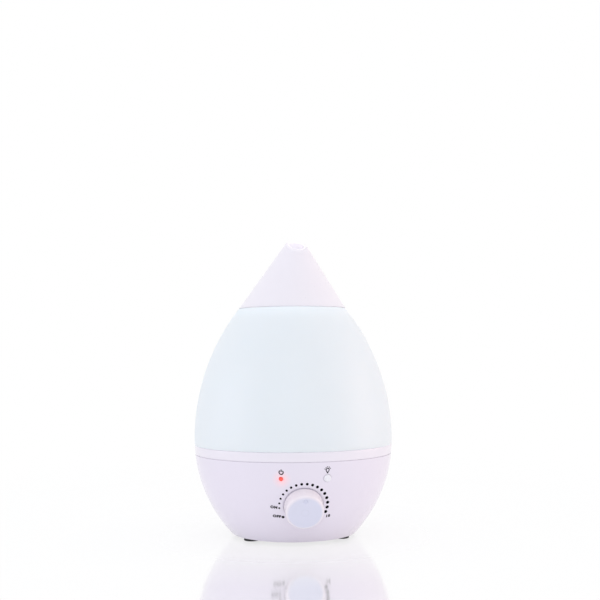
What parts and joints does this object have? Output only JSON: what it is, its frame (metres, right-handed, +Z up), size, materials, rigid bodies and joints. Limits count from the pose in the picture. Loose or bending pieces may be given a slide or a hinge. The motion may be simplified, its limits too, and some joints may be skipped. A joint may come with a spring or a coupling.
{
  "type": "cool mist humidifier",
  "caption": "Drop-shaped ultrasonic humidifier: base with dial, lamp and light button, lift-off frosted tank with chimney and valve cap, and a turning mist nozzle.",
  "frame": {"origin": "on the body's axis of revolution, in the plane of the feet's soles", "axes": "+Z up; -Y towards the front, where the control panel is; +X to the right of someone behind it"},
  "size_m": [0.17, 0.1755, 0.2537],
  "materials": {
    "white_shell": "glossy moulded white plastic, opaque",
    "band_plastic": "glossy moulded white plastic",
    "inner_plastic": "plain moulded white plastic",
    "tank_plastic": "frosted translucent plastic with a cool tint",
    "nozzle_plastic": "satin moulded white plastic",
    "knob_plastic": "glossy moulded white plastic",
    "button_plastic": "glossy moulded white plastic",
    "black_rubber": "black rubber",
    "pale_rubber": "soft pale silicone rubber",
    "screw_steel": "zinc plated steel",
    "bracket_steel": "stamped steel",
    "sink_aluminium": "extruded aluminium",
    "contact_brass": "nickelled brass",
    "board_green": "green solder mask over glass fibre",
    "black_plastic": "black moulded plastic",
    "fan_plastic": "black fibre-filled plastic",
    "capacitor_sleeve": "dark blue sleeve",
    "coil_copper": "enamelled copper wire",
    "disc_ceramic": "nickel-faced piezo ceramic",
    "lamp_red": "red lamp lens",
    "window_clear": "clear plastic window",
    "chip_yellow": "lamp chip resin",
    "float_foam": "closed-cell white foam",
    "lead_red": "red insulated lead",
    "lead_black": "black insulated lead",
    "lead_yellow": "yellow insulated lead",
    "lead_green": "green insulated lead",
    "lead_grey": "grey ribbon lead"
  },
  "bodies": {
    "base": {"base_shell": "white_shell", "bottom_cover": "white_shell", "rubber_feet": "black_rubber", "cover_screws": "screw_steel", "basin": "band_plastic", "basin_screws": "screw_steel", "air_duct": "inner_plastic", "fan_frame": "black_plastic", "fan_screws": "screw_steel", "ultrasonic_disc": "disc_ceramic", "disc_gasket": "pale_rubber", "disc_bracket": "bracket_steel", "bracket_screws": "screw_steel", "driver_board": "board_green", "heat_sink": "sink_aluminium", "power_transistor": "black_plastic", "board_capacitors": "capacitor_sleeve", "board_coil": "coil_copper", "board_screws": "screw_steel", "control_board": "board_green", "control_pot": "bracket_steel", "pot_nut": "screw_steel", "power_lamp": "lamp_red", "light_switch": "black_plastic", "dc_jack": "black_plastic", "dc_jack_pin": "contact_brass", "dc_jack_nut": "screw_steel", "float_clip": "inner_plastic", "reed_switch": "board_green", "light_window": "window_clear", "window_gasket": "pale_rubber", "light_board": "board_green", "light_chips": "chip_yellow", "disc_lead": "lead_red", "fan_lead": "lead_black", "jack_lead": "lead_black", "light_lead": "lead_yellow", "float_lead": "lead_green", "panel_lead": "lead_grey"},
    "fan": {"fan_rotor": "fan_plastic"},
    "dial": {"control_shaft": "sink_aluminium", "knob": "knob_plastic"},
    "light_key": {"switch_plunger": "black_plastic", "light_button": "button_plastic"},
    "float": {"float_ring": "float_foam"},
    "tank": {"tank_shell": "tank_plastic", "tank_floor": "tank_plastic", "chimney": "tank_plastic"},
    "valve": {"valve_stem": "inner_plastic", "valve_seal": "pale_rubber", "valve_spring": "screw_steel"},
    "cap_seat": {"cap_gasket": "pale_rubber"},
    "cap": {"tank_cap": "inner_plastic"},
    "guide": {"mist_guide": "inner_plastic"},
    "nozzle": {"nozzle_cone": "nozzle_plastic"}
  },
  "joints": [
    {"name": "tank_lift", "type": "slide", "parent": "base", "child": "tank", "axis": [0, 0, 1], "range_m": [0, 0.05]},
    {"name": "valve_drop", "type": "slide", "parent": "tank", "child": "valve", "axis": [0, 0, 1], "range_m": [-0.003, 0], "deforming": ["valve_spring"]},
    {"name": "cap_drop", "type": "slide", "parent": "tank", "child": "cap_seat", "axis": [0, 0, 1], "range_m": [-0.003, 0]},
    {"name": "cap_turn", "type": "hinge", "parent": "cap_seat", "child": "cap", "pos_m": [0, 0.0425, 0.07], "axis": [0, 0, 1], "range_deg": [-450, 0]},
    {"name": "nozzle_lift", "type": "slide", "parent": "tank", "child": "guide", "axis": [0, 0, 1], "range_m": [0, 0.03]},
    {"name": "nozzle_turn", "type": "hinge", "parent": "guide", "child": "nozzle", "pos_m": [0, 0, 0.1955], "axis": [0, 0, 1], "continuous": true},
    {"name": "knob_turn", "type": "hinge", "parent": "base", "child": "dial", "pos_m": [0, -0.07492, 0.0355], "axis": [0, 0.9139, 0.406], "range_deg": [-124.6, 111]},
    {"name": "light_press", "type": "slide", "parent": "base", "child": "light_key", "axis": [0, 0.9139, 0.406], "range_m": [0, 0.0008], "stiffness_N_per_m": 600, "springref_m": -0.001},
    {"name": "float_rise", "type": "slide", "parent": "base", "child": "float", "axis": [0, 0, 1], "range_m": [0, 0.0085]},
    {"name": "fan_spin", "type": "hinge", "parent": "base", "child": "fan", "pos_m": [0.0145, 0, 0.013], "axis": [0, 0, 1], "continuous": true}
  ],
  "couplings": [
    {"joint": "valve_drop", "follows": "tank_lift", "ratio": -0.06},
    {"joint": "cap_drop", "follows": "cap_turn", "m_per_rad": 0.00038197}
  ]
}
